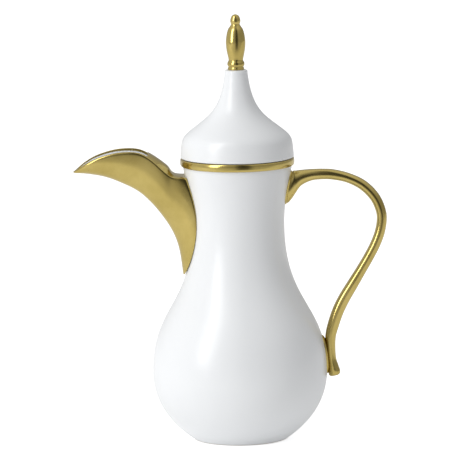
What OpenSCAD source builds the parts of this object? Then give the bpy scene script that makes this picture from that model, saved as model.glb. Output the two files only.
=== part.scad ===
// Arabic dallah coffee pot in glazed bone china with burnished gold trim.
// Millimetres, +Z up, origin at the centre of the foot on the table.
// The spout points to -X and the handle to +X.

/* [Pot] */
// Height of the pot without its lid
pot_h = 199.1; // [185:0.1:240]
// Greatest radius of the belly
belly_r = 61.4; // [54:0.1:74]
// Radius at the narrowest part of the neck
neck_r = 32.5; // [28:0.1:35]
// Outer radius of the rim under the gold band
rim_r = 38.3; // [36:0.1:46]
// Radius of the ring the pot stands on
foot_r = 33.7; // [28:0.1:40]
// Thickness of the china wall
wall = 3.2; // [2.6:0.1:4]
// Thickness of the floor above the foot recess
floor_t = 4.0; // [3:0.1:6]
// Depth of the hollow under the foot
foot_recess = 1.8; // [1:0.1:2.5]

/* [Rim band] */
// Height of the gold bead round the mouth
band_h = 5.3; // [4:0.1:7]
// How far the bead stands out from the rim
band_t = 1.7; // [1.2:0.1:2.4]

/* [Lid] */
// Height of the china lid from its seat to the finial
lid_h = 61.7; // [55:0.1:75]
// Radius of the flat top of the lid neck
lid_top_r = 8.1; // [7:0.1:10]
// Thickness of the lid wall
lid_wall = 2.8; // [2.2:0.1:3.4]
// Depth of the locating ring below the seat
flange_h = 8.5; // [6:0.1:12]
// Thickness of the locating ring
flange_t = 2.6; // [2:0.1:3.5]
// Clear space between locating ring and mouth
flange_clear = 0.6; // [0.4:0.05:1.2]
// Gap between the lid and the rim it rests on
seat_gap = 0.3; // [0.3:0.05:0.5]
// Diameter of the steam hole in the lid
vent_d = 2.6; // [2:0.1:3.5]

/* [Finial] */
// Height of the gold finial
finial_h = 38.9; // [32:0.1:47]
// Greatest radius of the finial
finial_r = 6.9; // [5.8:0.1:7.4]
// Radius of the spigot let into the lid
spigot_r = 2.5; // [2:0.1:3]
// Length of the spigot
spigot_l = 9; // [6:0.5:11]

/* [Spout] */
// Distance from the pot axis to the spout tip
spout_reach = 115.2; // [100:0.1:138]
// Half width of the open trough
spout_w = 12.1; // [10:0.1:14]
// Half width of the spout where it meets the pot, before its shoulders are drawn in
spout_root_w = 18.2; // [15:0.1:20]
// Thickness of the spout wall
spout_wall = 2.0; // [1.6:0.1:2.6]
// Diameter of each strainer hole behind the spout
strainer_d = 4.0; // [3:0.1:4.4]
// Distance between strainer holes
strainer_pitch = 8.0; // [7:0.1:9]

/* [Handle] */
// Distance from the pot axis to the outside of the handle
handle_reach = 104.5; // [92:0.1:126]
// Thickness of the handle bar as a share of the drawn size
handle_fat = 1.0; // [0.8:0.01:1.15]
// Thickness of the pad under each end of the handle
pad_t = 1.5; // [1.2:0.1:2]
// Half width of the upper pad
upper_pad_w = 7.2; // [6.8:0.1:9]
// Half width of the lower pad
lower_pad_w = 6.6; // [6:0.1:8]

/* [Shown] */
// Which piece is drawn

/* [Hidden] */
$fn = 96;
slip = 0.12;                        // luting joint between fired-on pieces
glaze_gap = 0.1;                    // between nested rings and spigot
belly_z = 0.241 * pot_h;
neck_z = 0.764 * pot_h;
base_z = 0.07 * pot_h;              // where the bulb is luted on to the foot
joint_z = 0.42 * pot_h;             // where the neck is luted on to the bulb
rim_z = pot_h - band_h + 0.2;       // underside of the gold band
foot_z = 0.8;                       // height of the rounded foot corner
floor_z = foot_recess + floor_t;
mouth_r = rim_r - wall;
seat_z = pot_h + 0.2 + seat_gap;
lid_z = seat_z + lid_h;
lid_r = rim_r + 1.45;
china = [0.95, 0.95, 0.94];
gold = [0.80, 0.66, 0.30];

// ---- curves -------------------------------------------------------------
function bez(a, b, c, d, t) =
    (1 - t) * (1 - t) * (1 - t) * a + 3 * (1 - t) * (1 - t) * t * b
    + 3 * (1 - t) * t * t * c + t * t * t * d;
function bez_dir(a, b, c, d, t) =
    3 * (1 - t) * (1 - t) * (b - a) + 6 * (1 - t) * t * (c - b) + 3 * t * t * (d - c);
// points set back by k from a curve, to the left of its direction
function bez_back(a, b, c, d, t, k) =
    let (v = bez_dir(a, b, c, d, t), n = [-v[1], v[0]] / norm(v))
    bez(a, b, c, d, t) + n * k;
// smooth curve through a table of rows, u counts rows from 0
function smooth(p, u) =
    let (n = len(p) - 1, x = min(max(u, 0), n - 0.000001), i = floor(x), t = x - i,
         a = p[max(i - 1, 0)], b = p[i], c = p[i + 1], d = p[min(i + 2, n)])
    0.5 * (2 * b + (c - a) * t + (2 * a - 5 * b + 4 * c - d) * t * t
           + (3 * b - a - 3 * c + d) * t * t * t);
function sgn_pow(v, e) = sign(v) * pow(abs(v), e);

// ---- pot profile --------------------------------------------------------
pot_curve = [
    [[foot_r, foot_z],
     [foot_r + 0.94 * (belly_r - foot_r), 0.387 * belly_z],
     [belly_r, 0.815 * belly_z],
     [belly_r, belly_z]],
    [[belly_r, belly_z],
     [belly_r, belly_z + 0.451 * (neck_z - belly_z)],
     [neck_r, neck_z - 0.555 * (neck_z - belly_z)],
     [neck_r, neck_z]],
    [[neck_r, neck_z],
     [neck_r, neck_z + 0.45 * (rim_z - neck_z)],
     [rim_r - 0.28 * (rim_r - neck_r), rim_z - 0.27 * (rim_z - neck_z)],
     [rim_r, rim_z]]
];
steps = [14, 26, 12];
pot_outer = [
    for (k = [0:2], i = [(k == 0 ? 0 : 1):steps[k]])
        bez(pot_curve[k][0], pot_curve[k][1], pot_curve[k][2], pot_curve[k][3], i / steps[k])
];
pot_inner = [
    for (k = [0:2], i = [(k == 0 ? 0 : 1):steps[k]])
        let (q = bez_back(pot_curve[k][0], pot_curve[k][1], pot_curve[k][2],
                          pot_curve[k][3], i / steps[k], wall))
        if (q[1] > floor_z + 0.4 && q[1] < rim_z - 1) q
];
surface_table = [for (p = pot_outer) [p[1], p[0]]];
// radius of the outside of the pot at height z
function pot_r(z) = z >= rim_z ? rim_r : lookup(z, surface_table);
bore_table = [for (q = pot_inner) [q[1], q[0]]];
// corners of a joint through the wall at height z
function joint_out(z) = [pot_r(z), z];
function joint_in(z) = [lookup(z, bore_table), z];
// points of a wall curve between two heights, clear of both
function between(points, low, high) = [for (p = points) if (p[1] > low + 1 && p[1] < high - 1) p];
function turned(points) = [for (i = [len(points) - 1:-1:0]) points[i]];
// distance along X from the axis to the pot surface, k outside it
function pot_x(z, y, k) = sqrt(pow(pot_r(z) + k, 2) - y * y);

// ---- spout --------------------------------------------------------------
// rows: share of the way from tip to pot, then as shares of the pot height the lip,
// the keel and the inside keel, then share of the trough width, flare towards the
// root width, and height of the closed top over the lip in mm
spout_rows = [
    [0.000, 0.9583, 0.9558, 0.9670, 0.00, 0.00, 0.0],
    [0.013, 0.9613, 0.9540, 0.9670, 0.22, 0.00, 0.0],
    [0.040, 0.9679, 0.9533, 0.9660, 0.41, 0.00, 0.0],
    [0.078, 0.9804, 0.9525, 0.9638, 0.60, 0.00, 0.0],
    [0.130, 0.9935, 0.9508, 0.9623, 0.77, 0.00, 0.0],
    [0.195, 1.0070, 0.9468, 0.9583, 0.90, 0.00, 0.0],
    [0.262, 1.0166, 0.9422, 0.9543, 0.97, 0.00, 0.0],
    [0.352, 1.0266, 0.9317, 0.9437, 1.00, 0.00, 0.0],
    [0.444, 1.0321, 0.9166, 0.9292, 1.00, 0.00, 0.0],
    [0.535, 1.0326, 0.9001, 0.9131, 1.00, 0.00, 0.6],
    [0.613, 1.0286, 0.8815, 0.8955, 1.00, 0.00, 1.2],
    [0.684, 1.0161, 0.8569, 0.8724, 1.00, 0.01, 1.8],
    [0.757, 0.9945, 0.8262, 0.8433, 1.00, 0.04, 2.9],
    [0.836, 0.9653, 0.7860, 0.8056, 1.00, 0.11, 4.3],
    [0.901, 0.9478, 0.7454, 0.7675, 1.00, 0.12, 3.9],
    [0.948, 0.9412, 0.7011, 0.7320, 1.00, 0.26, 2.5],
    [0.976, 0.9395, 0.6504, 0.6956, 1.00, 0.50, 1.3],
    [1.000, 0.9395, 0.5670, 0.6504, 1.00, 1.00, 0.4]
];
spout_root_x = pot_r(spout_rows[17][2] * pot_h) + slip;
spout_len = spout_reach - spout_root_x;
spout_n = 34;                       // stations between tip and pot
under_n = 26;                       // steps round the underside
crown_n = 10;                       // steps over the closed top
bridge_row = 11;                    // the top is closed from this row on
bridge_i = bridge_row * 2;
ring_n = under_n + crown_n;
drawn_in = 0.34;                    // how far the root's shoulders are drawn in

function spout_at(i) = smooth(spout_rows, i / 2);
// inside stations start back from the tip so the lip keeps its thickness
function inside_u(i) =
    let (a = spout_at(i)[0]) i / 2 + (a < 0.128 ? 2.1 * pow(1 - a / 0.128, 1.5) : 0);
// squeeze of the sections on to the curved side of the pot
function root_pull(a) = let (t = max(0, (a - 0.86) / 0.14)) t * t * (3 - 2 * t);
function place(a, y, z, keel, k) =
    let (flat = -spout_reach + a * spout_len)
    [flat + root_pull(a) * (pot_r(keel) + k - pot_x(z, y, k)), y, z];
// half width at a share of the depth below the lip
function spout_half(r, depth, inner) =
    let (w = r[4] * spout_w + r[5] * (spout_root_w - spout_w))
    max(w * (1 - drawn_in * r[5] * pow(1 - depth, 3)) - (inner ? spout_wall : 0), 0.3);
function spout_point(i, j, inner) =
    let (r = inner ? smooth(spout_rows, inside_u(i)) : spout_at(i),
         lip = r[1] * pot_h - (inner ? 0.85 * spout_wall * root_pull(r[0]) : 0),
         keel = (inner ? min(r[3], r[1] - 0.002) : r[2]) * pot_h,
         rise = inner ? max(r[6] - 1.25 * spout_wall, 0.3) : r[6],
         t = 180 * j / under_n,
         f = 180 * (j - under_n) / crown_n,
         depth = j <= under_n ? pow(sin(t), 0.8) : 0,
         w = spout_half(r, depth, inner),
         y = j <= under_n ? -w * cos(t) : w * cos(f),
         z = j <= under_n ? lip - (lip - keel) * depth : lip + rise * sin(f))
    place(r[0], y, z, r[2] * pot_h, slip);
spout_outer = concat(
    [[-spout_reach, 0, spout_rows[0][1] * pot_h]],
    [for (i = [1:spout_n], j = [0:ring_n - 1]) spout_point(i, j, false)]);
spout_inner = concat(
    [let (r = smooth(spout_rows, inside_u(0)))
     [-spout_reach + r[0] * spout_len, 0, r[1] * pot_h]],
    [for (i = [1:spout_n], j = [0:ring_n - 1]) spout_point(i, j, true)]);
inner_0 = len(spout_outer);
function vo(i, j) = i == 0 ? 0 : 1 + (i - 1) * ring_n + (j % ring_n);
function vi(i, j) = inner_0 + vo(i, j);
function quad(a, b, c, d) = concat(a == b ? [] : [[a, b, c]], c == d ? [] : [[a, c, d]]);
function last_j(i) = i < bridge_i ? under_n - 1 : ring_n - 1;
spout_faces = [
    for (i = [0:spout_n - 1], j = [0:last_j(i)])
        each quad(vo(i, j), vo(i, j + 1), vo(i + 1, j + 1), vo(i + 1, j)),
    for (i = [0:spout_n - 1], j = [0:last_j(i)])
        each quad(vi(i, j + 1), vi(i, j), vi(i + 1, j), vi(i + 1, j + 1)),
    for (i = [0:bridge_i - 1])
        each quad(vi(i, 0), vo(i, 0), vo(i + 1, 0), vi(i + 1, 0)),
    for (i = [0:bridge_i - 1])
        each quad(vo(i, under_n), vi(i, under_n), vi(i + 1, under_n), vo(i + 1, under_n)),
    for (j = [under_n:ring_n - 1])
        each quad(vo(bridge_i, j + 1), vo(bridge_i, j), vi(bridge_i, j), vi(bridge_i, j + 1)),
    for (j = [0:ring_n - 1])
        each quad(vo(spout_n, j), vo(spout_n, j + 1), vi(spout_n, j + 1), vi(spout_n, j))
];

// ---- handle -------------------------------------------------------------
// rows: share of the reach, share of the pot height, tilt of the section,
// half thickness, half width
handle_rows = [
    [0.000, 0.8935, 90, 11.3, 6.3],
    [0.031, 0.9030, 90, 9.80, 6.1],
    [0.060, 0.9121, 90, 7.90, 5.8],
    [0.122, 0.9262, 90, 5.55, 5.4],
    [0.229, 0.9357, 90, 4.10, 5.0],
    [0.355, 0.9382, 89, 3.72, 4.8],
    [0.477, 0.9357, 84, 3.65, 4.7],
    [0.636, 0.9232, 71, 3.45, 4.7],
    [0.794, 0.8975, 55, 3.60, 4.7],
    [0.918, 0.8574, 35, 3.60, 4.7],
    [0.983, 0.8142, 17, 3.60, 4.7],
    [1.000, 0.7735, 1, 3.60, 4.7],
    [0.960, 0.7293, -15, 3.60, 4.7],
    [0.871, 0.6856, -24, 3.60, 4.7],
    [0.748, 0.6419, -29, 3.60, 4.7],
    [0.590, 0.5922, -31, 3.70, 4.7],
    [0.432, 0.5440, -31, 4.00, 4.8],
    [0.265, 0.4927, -29, 4.20, 4.8],
    [0.142, 0.4460, -23, 4.20, 4.9],
    [0.048, 0.3948, -15, 4.10, 5.0],
    [0.003, 0.3586, -8, 3.80, 5.1],
    [0.000, 0.3179, -1, 3.50, 5.2],
    [0.019, 0.2788, 8, 3.30, 5.3],
    [0.046, 0.2511, 14, 3.90, 5.5],
    [0.067, 0.2325, 15, 4.30, 5.6],
    [0.072, 0.2225, 12, 4.00, 5.2],
    [0.072, 0.2185, 10, 2.60, 3.6]
];
handle_n = 66;                      // rings from root to tail
bar_n = 24;                         // steps round the bar
turn_row = 11;                      // the outermost row
over_pad = slip + pad_t + slip;
root_x = pot_r(0.8935 * pot_h) + over_pad;
low_x = pot_r(0.318 * pot_h) + over_pad + 2.0;
reach_x = handle_reach - handle_rows[turn_row][3] * handle_fat;
function bar_point(u, k, grow) =
    let (r = smooth(handle_rows, u), from_x = u <= turn_row ? root_x : low_x,
         cx = from_x + r[0] * (reach_x - from_x), cz = r[1] * pot_h, a = 360 * k / bar_n,
         s = sgn_pow(cos(a), 0.88) * r[3] * handle_fat * grow,
         y = sgn_pow(sin(a), 0.88) * r[4] * handle_fat * grow,
         z = cz + s * sin(r[2]), rest = pot_x(z, y, over_pad))
    [u == 0 ? rest : max(cx + s * cos(r[2]), rest), y, z];
// the root is closed by smaller rings that lie on the pad, round one middle point
handle_p = concat(
    [[root_x, 0, handle_rows[0][1] * pot_h]],
    [for (g = [1:2], k = [0:bar_n - 1]) bar_point(0, k, g / 3)],
    [for (i = [0:handle_n], k = [0:bar_n - 1])
        bar_point(i * (len(handle_rows) - 1) / handle_n, k, 1)]);
rings = handle_n + 3;
handle_faces = concat(
    [for (k = [0:bar_n - 1]) [0, 1 + (k + 1) % bar_n, 1 + k]],
    [for (i = [0:rings - 2], k = [0:bar_n - 1])
        let (a = 1 + i * bar_n + k, b = 1 + i * bar_n + (k + 1) % bar_n)
        each [[a, b, b + bar_n], [a, b + bar_n, a + bar_n]]],
    [[for (k = [0:bar_n - 1]) 1 + (rings - 1) * bar_n + k]]);

// ---- lid ----------------------------------------------------------------
lid_join = [0.776 * lid_r, seat_z + 0.333 * lid_h];
lid_slope = 38;
lid_a = [[lid_r, seat_z + 0.9],
         [lid_r - 1.0, seat_z + 0.22 * lid_h],
         lid_join + 10.9 * [cos(lid_slope), -sin(lid_slope)],
         lid_join];
lid_b = [lid_join,
         lid_join + 14.8 * [-cos(lid_slope), sin(lid_slope)],
         [lid_top_r + 3.0, lid_z - 28.0],
         [lid_top_r, lid_z - 2.2]];
lid_bore = mouth_r - flange_clear;      // outside of the locating ring
lid_solid_z = lid_z - 15;               // the neck of the lid is solid above this
lid_outer = concat(
    [for (i = [0:14]) bez(lid_a[0], lid_a[1], lid_a[2], lid_a[3], i / 14)],
    [for (i = [1:22]) bez(lid_b[0], lid_b[1], lid_b[2], lid_b[3], i / 22)]);
lid_under = [
    for (k = [0:1], i = [(k == 0 ? 2 : 1):(k == 0 ? 14 : 22)])
        let (c = k == 0 ? lid_a : lid_b,
             q = bez_back(c[0], c[1], c[2], c[3], i / (k == 0 ? 14 : 22), lid_wall))
        if (q[1] < lid_solid_z && q[1] > seat_z + 5) [min(q[0], lid_bore + glaze_gap), q[1]]
];

// ---- finial -------------------------------------------------------------
finial_rows = [
    [0.835, 0.000], [0.835, 0.022], [0.770, 0.048], [0.850, 0.075], [0.876, 0.100],
    [0.840, 0.135], [0.745, 0.165], [0.765, 0.205], [0.845, 0.270], [0.925, 0.345],
    [0.980, 0.425], [1.000, 0.500], [0.960, 0.578], [0.885, 0.655], [0.820, 0.696],
    [0.735, 0.735], [0.560, 0.780], [0.450, 0.812], [0.470, 0.835], [0.516, 0.865],
    [0.505, 0.900], [0.440, 0.940], [0.300, 0.978], [0.000, 1.000]
];
finial_seat = lid_z + slip;
finial_curve = concat(
    [for (i = [0:(len(finial_rows) - 1) * 2 - 1])
        let (q = smooth(finial_rows, i / 2))
        [q[0] * finial_r, finial_seat + max(q[1], 0) * finial_h]],
    [[0, finial_seat + finial_h]]);

// ---- pieces -------------------------------------------------------------
module pot_foot() {
    color(china) rotate_extrude() polygon(concat(
        [[0, foot_recess], [foot_r - 4.6, foot_recess], [foot_r - 3.8, 0],
         [foot_r - 1.3, 0], [foot_r - 0.5, 0.2], pot_outer[0]],
        between(pot_outer, foot_z, base_z), [joint_out(base_z), joint_in(base_z)],
        turned(between(pot_inner, 0, base_z)),
        [[pot_inner[0][0] - 1.2, floor_z], [0, floor_z]]));
}

module pot_body() {
    color(china) rotate_extrude() polygon(concat(
        [joint_in(base_z), joint_out(base_z)], between(pot_outer, base_z, joint_z),
        [joint_out(joint_z), joint_in(joint_z)], turned(between(pot_inner, base_z, joint_z))));
}

module pot_neck() {
    color(china) difference() {
        rotate_extrude() polygon(concat(
            [joint_in(joint_z), joint_out(joint_z)], between(pot_outer, joint_z, pot_h),
            [[rim_r, pot_h - 0.5], [rim_r - 0.5, pot_h], [mouth_r + 0.8, pot_h],
             [mouth_r, pot_h - 0.8], [mouth_r, rim_z - 1]],
            turned(between(pot_inner, joint_z, pot_h))));
        strainer_cut();
    }
}

// rows of strainer holes: [row height above the lowest, number of holes]
strainer_rows = [[0, 1], [1, 2], [2, 3], [3, 2], [4, 3], [5, 2]];
module strainer_cut() {
    for (r = strainer_rows, k = [0:r[1] - 1])
        translate([-neck_r - 14, (k - (r[1] - 1) / 2) * strainer_pitch,
                   0.668 * pot_h + r[0] * strainer_pitch * 0.85])
            rotate([0, 90, 0]) cylinder(d = strainer_d, h = neck_r + 2, $fn = 32);
}

module rim_band() {
    inner = rim_r + glaze_gap;
    color(gold) rotate_extrude() polygon(concat(
        [[inner, rim_z]],
        [for (i = [0:16]) let (a = -90 + 180 * i / 16)
            [inner + band_t * (0.35 + 0.65 * sgn_pow(cos(a), 0.8)),
             rim_z + band_h / 2 + band_h / 2 * sgn_pow(sin(a), 0.9)]],
        [[inner, rim_z + band_h]]));
}

module spout() {
    color(gold) polyhedron(points = concat(spout_outer, spout_inner), faces = spout_faces);
}

module handle() {
    color(gold) polyhedron(points = handle_p, faces = handle_faces);
}

// curved plate lying on the pot between two heights
module pad(low, high, w) {
    n = 24;
    intersection() {
        rotate_extrude() polygon(concat(
            [for (i = [0:n]) let (z = low - 1 + (high - low + 2) * i / n) [pot_r(z) + slip, z]],
            [for (i = [n:-1:0]) let (z = low - 1 + (high - low + 2) * i / n)
                [pot_r(z) + slip + pad_t, z]]));
        union() {
            translate([0, -w, low + w]) cube([belly_r + 20, 2 * w, high - low - 2 * w]);
            for (z = [low + w, high - w])
                translate([0, 0, z]) rotate([0, 90, 0]) cylinder(r = w, h = belly_r + 20);
        }
    }
}

module handle_upper_pad() {
    color(gold) pad(0.8315 * pot_h, 0.9535 * pot_h, upper_pad_w);
}

module handle_lower_pad() {
    color(gold) pad(0.2255 * pot_h, 0.3646 * pot_h, lower_pad_w);
}

module lid_shell() {
    ledge = lid_bore + glaze_gap;
    color(china) difference() {
        rotate_extrude() polygon(concat(
            [[ledge, seat_z], [lid_r - 0.9, seat_z], [lid_r - 0.25, seat_z + 0.3]],
            lid_outer,
            [[lid_top_r - 0.35, lid_z - 1.1], [lid_top_r - 1.1, lid_z - 0.35],
             [lid_top_r - 2.2, lid_z], [0, lid_z], [0, lid_solid_z]],
            [[lid_under[len(lid_under) - 1][0] - 1, lid_solid_z]],
            [for (i = [len(lid_under) - 1:-1:0]) lid_under[i]]));
        translate([0, 0, lid_z - spigot_l - 1])
            cylinder(r = spigot_r + glaze_gap, h = spigot_l + 2, $fn = 48);
        translate([0.45 * lid_r, 0, seat_z + 0.25 * lid_h])
            cylinder(d = vent_d, h = 0.4 * lid_h, $fn = 32);
    }
}

module lid_flange() {
    top = seat_z + 4.2;
    low = seat_z - flange_h;
    color(china) rotate_extrude() polygon([
        [lid_bore - flange_t, low + 0.6], [lid_bore - flange_t + 0.6, low],
        [lid_bore - 1.0, low], [lid_bore - 0.3, low + 0.5], [lid_bore, low + 1.5],
        [lid_bore, top], [lid_bore - flange_t, top]]);
}

module finial() {
    color(gold) rotate_extrude() polygon(concat(
        [[0, lid_z - spigot_l], [spigot_r, lid_z - spigot_l], [spigot_r, finial_seat]],
        finial_curve));
}

pot_foot();
pot_body();
pot_neck();
rim_band();
spout();
handle();
handle_upper_pad();
handle_lower_pad();
lid_shell();
lid_flange();
finial();
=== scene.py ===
import math

import bmesh
import bpy
from mathutils import Matrix, Vector


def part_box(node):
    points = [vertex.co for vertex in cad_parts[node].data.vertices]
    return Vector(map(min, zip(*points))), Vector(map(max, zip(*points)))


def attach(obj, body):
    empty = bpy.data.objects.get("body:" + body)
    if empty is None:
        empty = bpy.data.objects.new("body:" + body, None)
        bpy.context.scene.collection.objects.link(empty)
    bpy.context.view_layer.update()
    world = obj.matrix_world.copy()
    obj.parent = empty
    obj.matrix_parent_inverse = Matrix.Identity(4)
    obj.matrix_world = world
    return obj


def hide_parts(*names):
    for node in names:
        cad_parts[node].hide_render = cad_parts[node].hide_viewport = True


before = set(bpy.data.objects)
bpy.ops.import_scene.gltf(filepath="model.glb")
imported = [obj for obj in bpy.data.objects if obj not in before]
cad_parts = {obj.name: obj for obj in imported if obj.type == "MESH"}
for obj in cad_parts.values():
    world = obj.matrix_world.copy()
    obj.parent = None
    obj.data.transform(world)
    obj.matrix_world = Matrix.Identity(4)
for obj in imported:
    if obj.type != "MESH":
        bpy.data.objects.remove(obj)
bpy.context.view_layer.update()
print("frame loaded:", ", ".join(sorted(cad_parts)))

mm = 0.001
weld = 0.004 * mm      # points nearer than this become one
scene = bpy.context.scene

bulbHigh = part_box("pot_body")[1]
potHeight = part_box("pot_neck")[1].z
bandLow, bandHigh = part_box("rim_band")
lidLow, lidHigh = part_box("lid_shell")
ringLow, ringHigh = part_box("lid_flange")
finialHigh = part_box("finial")[1]
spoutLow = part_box("spout")[0]
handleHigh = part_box("handle")[1]


# a small bench for building trees, used for shapes and for finishes

class Wire:
    # one socket's value, which can be reckoned with like a number

    def __init__(self, bench, socket):
        self.bench = bench
        self.socket = socket

    def maths(self, operation, *others):
        return self.bench.out("ShaderNodeMath", {"operation": operation}, self, *others)

    def swapped(self, operation, other):
        return self.bench.out("ShaderNodeMath", {"operation": operation}, other, self)

    def __add__(self, other):
        return self.maths("ADD", other)

    def __radd__(self, other):
        return self.swapped("ADD", other)

    def __sub__(self, other):
        return self.maths("SUBTRACT", other)

    def __rsub__(self, other):
        return self.swapped("SUBTRACT", other)

    def __mul__(self, other):
        return self.maths("MULTIPLY", other)

    def __rmul__(self, other):
        return self.swapped("MULTIPLY", other)

    def __truediv__(self, other):
        return self.maths("DIVIDE", other)

    def __rtruediv__(self, other):
        return self.swapped("DIVIDE", other)

    def __pow__(self, other):
        return self.maths("POWER", other)

    def __abs__(self):
        return self.maths("ABSOLUTE")


class Bench:
    # adds nodes to one tree

    def __init__(self, tree):
        self.tree = tree

    def add(self, kind, settings=None, *values, **named):
        node = self.tree.nodes.new(kind)
        for key, value in (settings or {}).items():
            setattr(node, key, value)
        for i, value in enumerate(values):
            self.feed(node.inputs[i], value)
        for key, value in named.items():
            self.feed(node.inputs[key.replace("_", " ")], value)
        return node

    def out(self, kind, settings=None, *values, **named):
        return Wire(self, self.add(kind, settings, *values, **named).outputs[0])

    def feed(self, socket, value):
        if value is None:
            return
        if isinstance(value, Wire):
            self.tree.links.new(value.socket, socket)
        elif isinstance(value, bpy.types.NodeSocket):
            self.tree.links.new(value, socket)
        else:
            socket.default_value = value

    def ranged(self, value, low, high, atLow, atHigh):
        return self.out("ShaderNodeMapRange", {"clamp": True}, value, low, high, atLow, atHigh)


# curves

def bezier(a, b, c, d, count, skipFirst=False):
    points = []
    for i in range(1 if skipFirst else 0, count + 1):
        t = i / count
        s = 1 - t
        points.append(a * s ** 3 + b * (3 * s * s * t) + c * (3 * s * t * t) + d * t ** 3)
    return points


def smooth(rows, u):
    last = len(rows) - 1
    u = min(max(u, 0), last - 1e-9)
    i = int(u)
    t = u - i
    found = []
    for a, b, c, d in zip(rows[max(i - 1, 0)], rows[i], rows[i + 1], rows[min(i + 2, last)]):
        found.append(0.5 * (2 * b + (c - a) * t + (2 * a - 5 * b + 4 * c - d) * t * t
                            + (3 * b - a - 3 * c + d) * t ** 3))
    return found


def roundedPath(corners, steps=5):
    # corners are (radius, height, rounding); a corner with no rounding stays sharp
    points = []
    for i, (r, z, rounding) in enumerate(corners):
        here = Vector((r, z))
        if rounding <= 0 or i == 0 or i == len(corners) - 1:
            points.append(here)
            continue
        before = Vector(corners[i - 1][:2]) - here
        after = Vector(corners[i + 1][:2]) - here
        a = here + before.normalized() * min(rounding, before.length * 0.5)
        b = here + after.normalized() * min(rounding, after.length * 0.5)
        for k in range(steps + 1):
            t = k / steps
            points.append(a * (1 - t) ** 2 + here * (2 * t * (1 - t)) + b * t * t)
    return points


def setBack(points, distance):
    # the same curve moved to its left by distance
    moved = []
    for i, p in enumerate(points):
        way = points[min(i + 1, len(points) - 1)] - points[max(i - 1, 0)]
        moved.append(p + Vector((-way.y, way.x)).normalized() * distance)
    return moved


def signedPower(value, exponent):
    return math.copysign(abs(value) ** exponent, value)


# finishes

glaze = {
    "white": (0.81, 0.825, 0.84),
    "thinWhite": 0.985,         # share of that white left where the glaze drifts
    "roughness": 0.30,
    "pooling": 0.05,            # how much the roughness drifts
    "coat": 0.12,
    "coatRoughness": 0.16,
    "refraction": 1.5,
    "driftScale": 14,
    "peelScale": 180,           # the fine dimpling of the surface
    "bumpStrength": 0.25,
    "bumpDepth": 0.4 * mm,
    "pinholeScale": 95,
    "pinholeReach": (0.010, 0.045),
    "pinholeShade": 0.12,
    "pinholeTint": (0.35, 0.33, 0.30),
    "bareFoot": (0.66, 0.63, 0.58),     # unglazed clay under the foot
    "bareRoughness": 0.5,
    "bareHeight": (0.4 * mm, 0.9 * mm),
}
gilt = {
    "deep": (0.46, 0.355, 0.105),
    "pale": (0.60, 0.475, 0.165),
    "toneReach": (0.32, 0.68),
    "roughness": 0.17,
    "cloud": 0.10,              # drift of the roughness in the burnish
    "cloudScale": 28,
    "grain": 0.03,
    "grainScale": 620,
    "grainTone": 0.15,
    "strokes": (180, 2600, 2600),       # the burnishing strokes run along X
    "bumpStrength": 0.06,
    "bumpDepth": 0.04 * mm,
    "specks": 0.5,              # how dark the pinholes in the gold are
    "speckScale": 150,
    "speckReach": (0.03, 0.10),
    "speckPatches": 60,
    "speckChance": (0.55, 0.66),
    "speckRoughness": 0.2,
    "speckTint": (0.10, 0.07, 0.02),
}


def newFinish(name):
    material = bpy.data.materials.new(name)
    material.use_nodes = True
    tree = material.node_tree
    tree.nodes.clear()
    bench = Bench(tree)
    shader = bench.add("ShaderNodeBsdfPrincipled")
    end = bench.add("ShaderNodeOutputMaterial")
    tree.links.new(shader.outputs[0], end.inputs[0])
    return material, bench, shader


def noiseAt(bench, place, scale, detail, roughness=0.5):
    return bench.out("ShaderNodeTexNoise", None, Vector=place, Scale=scale, Detail=detail,
                     Roughness=roughness)


def blendColours(bench, share, a, b):
    node = bench.add("ShaderNodeMix", {"data_type": "RGBA"})
    bench.feed(node.inputs[0], share)
    bench.feed(node.inputs[6], a)
    bench.feed(node.inputs[7], b)
    return Wire(bench, node.outputs[2])


def rgba(colour):
    return (*colour, 1.0)


def finishOff(bench, shader, colour, rough, height, finish):
    bump = bench.add("ShaderNodeBump", None, Strength=finish["bumpStrength"],
                     Distance=finish["bumpDepth"], Height=height)
    bench.feed(shader.inputs["Base Color"], colour)
    bench.feed(shader.inputs["Roughness"], rough)
    bench.feed(shader.inputs["Normal"], bump.outputs[0])


def makeGlaze():
    material, bench, shader = newFinish("whiteGlaze")
    place = bench.add("ShaderNodeTexCoord").outputs["Object"]
    height = bench.add("ShaderNodeSeparateXYZ", None, place).outputs[2]
    drift = noiseAt(bench, place, glaze["driftScale"], 3)
    peel = noiseAt(bench, place, glaze["peelScale"], 2)
    speck = bench.out("ShaderNodeTexVoronoi", {"feature": "F1"}, Vector=place,
                      Scale=glaze["pinholeScale"])
    pinhole = bench.ranged(speck, *glaze["pinholeReach"], 1, 0)
    foot = bench.ranged(height, *glaze["bareHeight"], 1, 0)
    white = blendColours(bench, drift, rgba(glaze["white"]),
                         rgba([c * glaze["thinWhite"] for c in glaze["white"]]))
    spotted = blendColours(bench, pinhole * glaze["pinholeShade"], white,
                           rgba(glaze["pinholeTint"]))
    colour = blendColours(bench, foot, spotted, rgba(glaze["bareFoot"]))
    rough = (glaze["roughness"] + (drift - 0.5) * glaze["pooling"]
             + foot * glaze["bareRoughness"])
    finishOff(bench, shader, colour, rough, peel + drift * 2.0, glaze)
    shader.inputs["Coat Weight"].default_value = glaze["coat"]
    shader.inputs["Coat Roughness"].default_value = glaze["coatRoughness"]
    shader.inputs["IOR"].default_value = glaze["refraction"]
    return material


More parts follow.
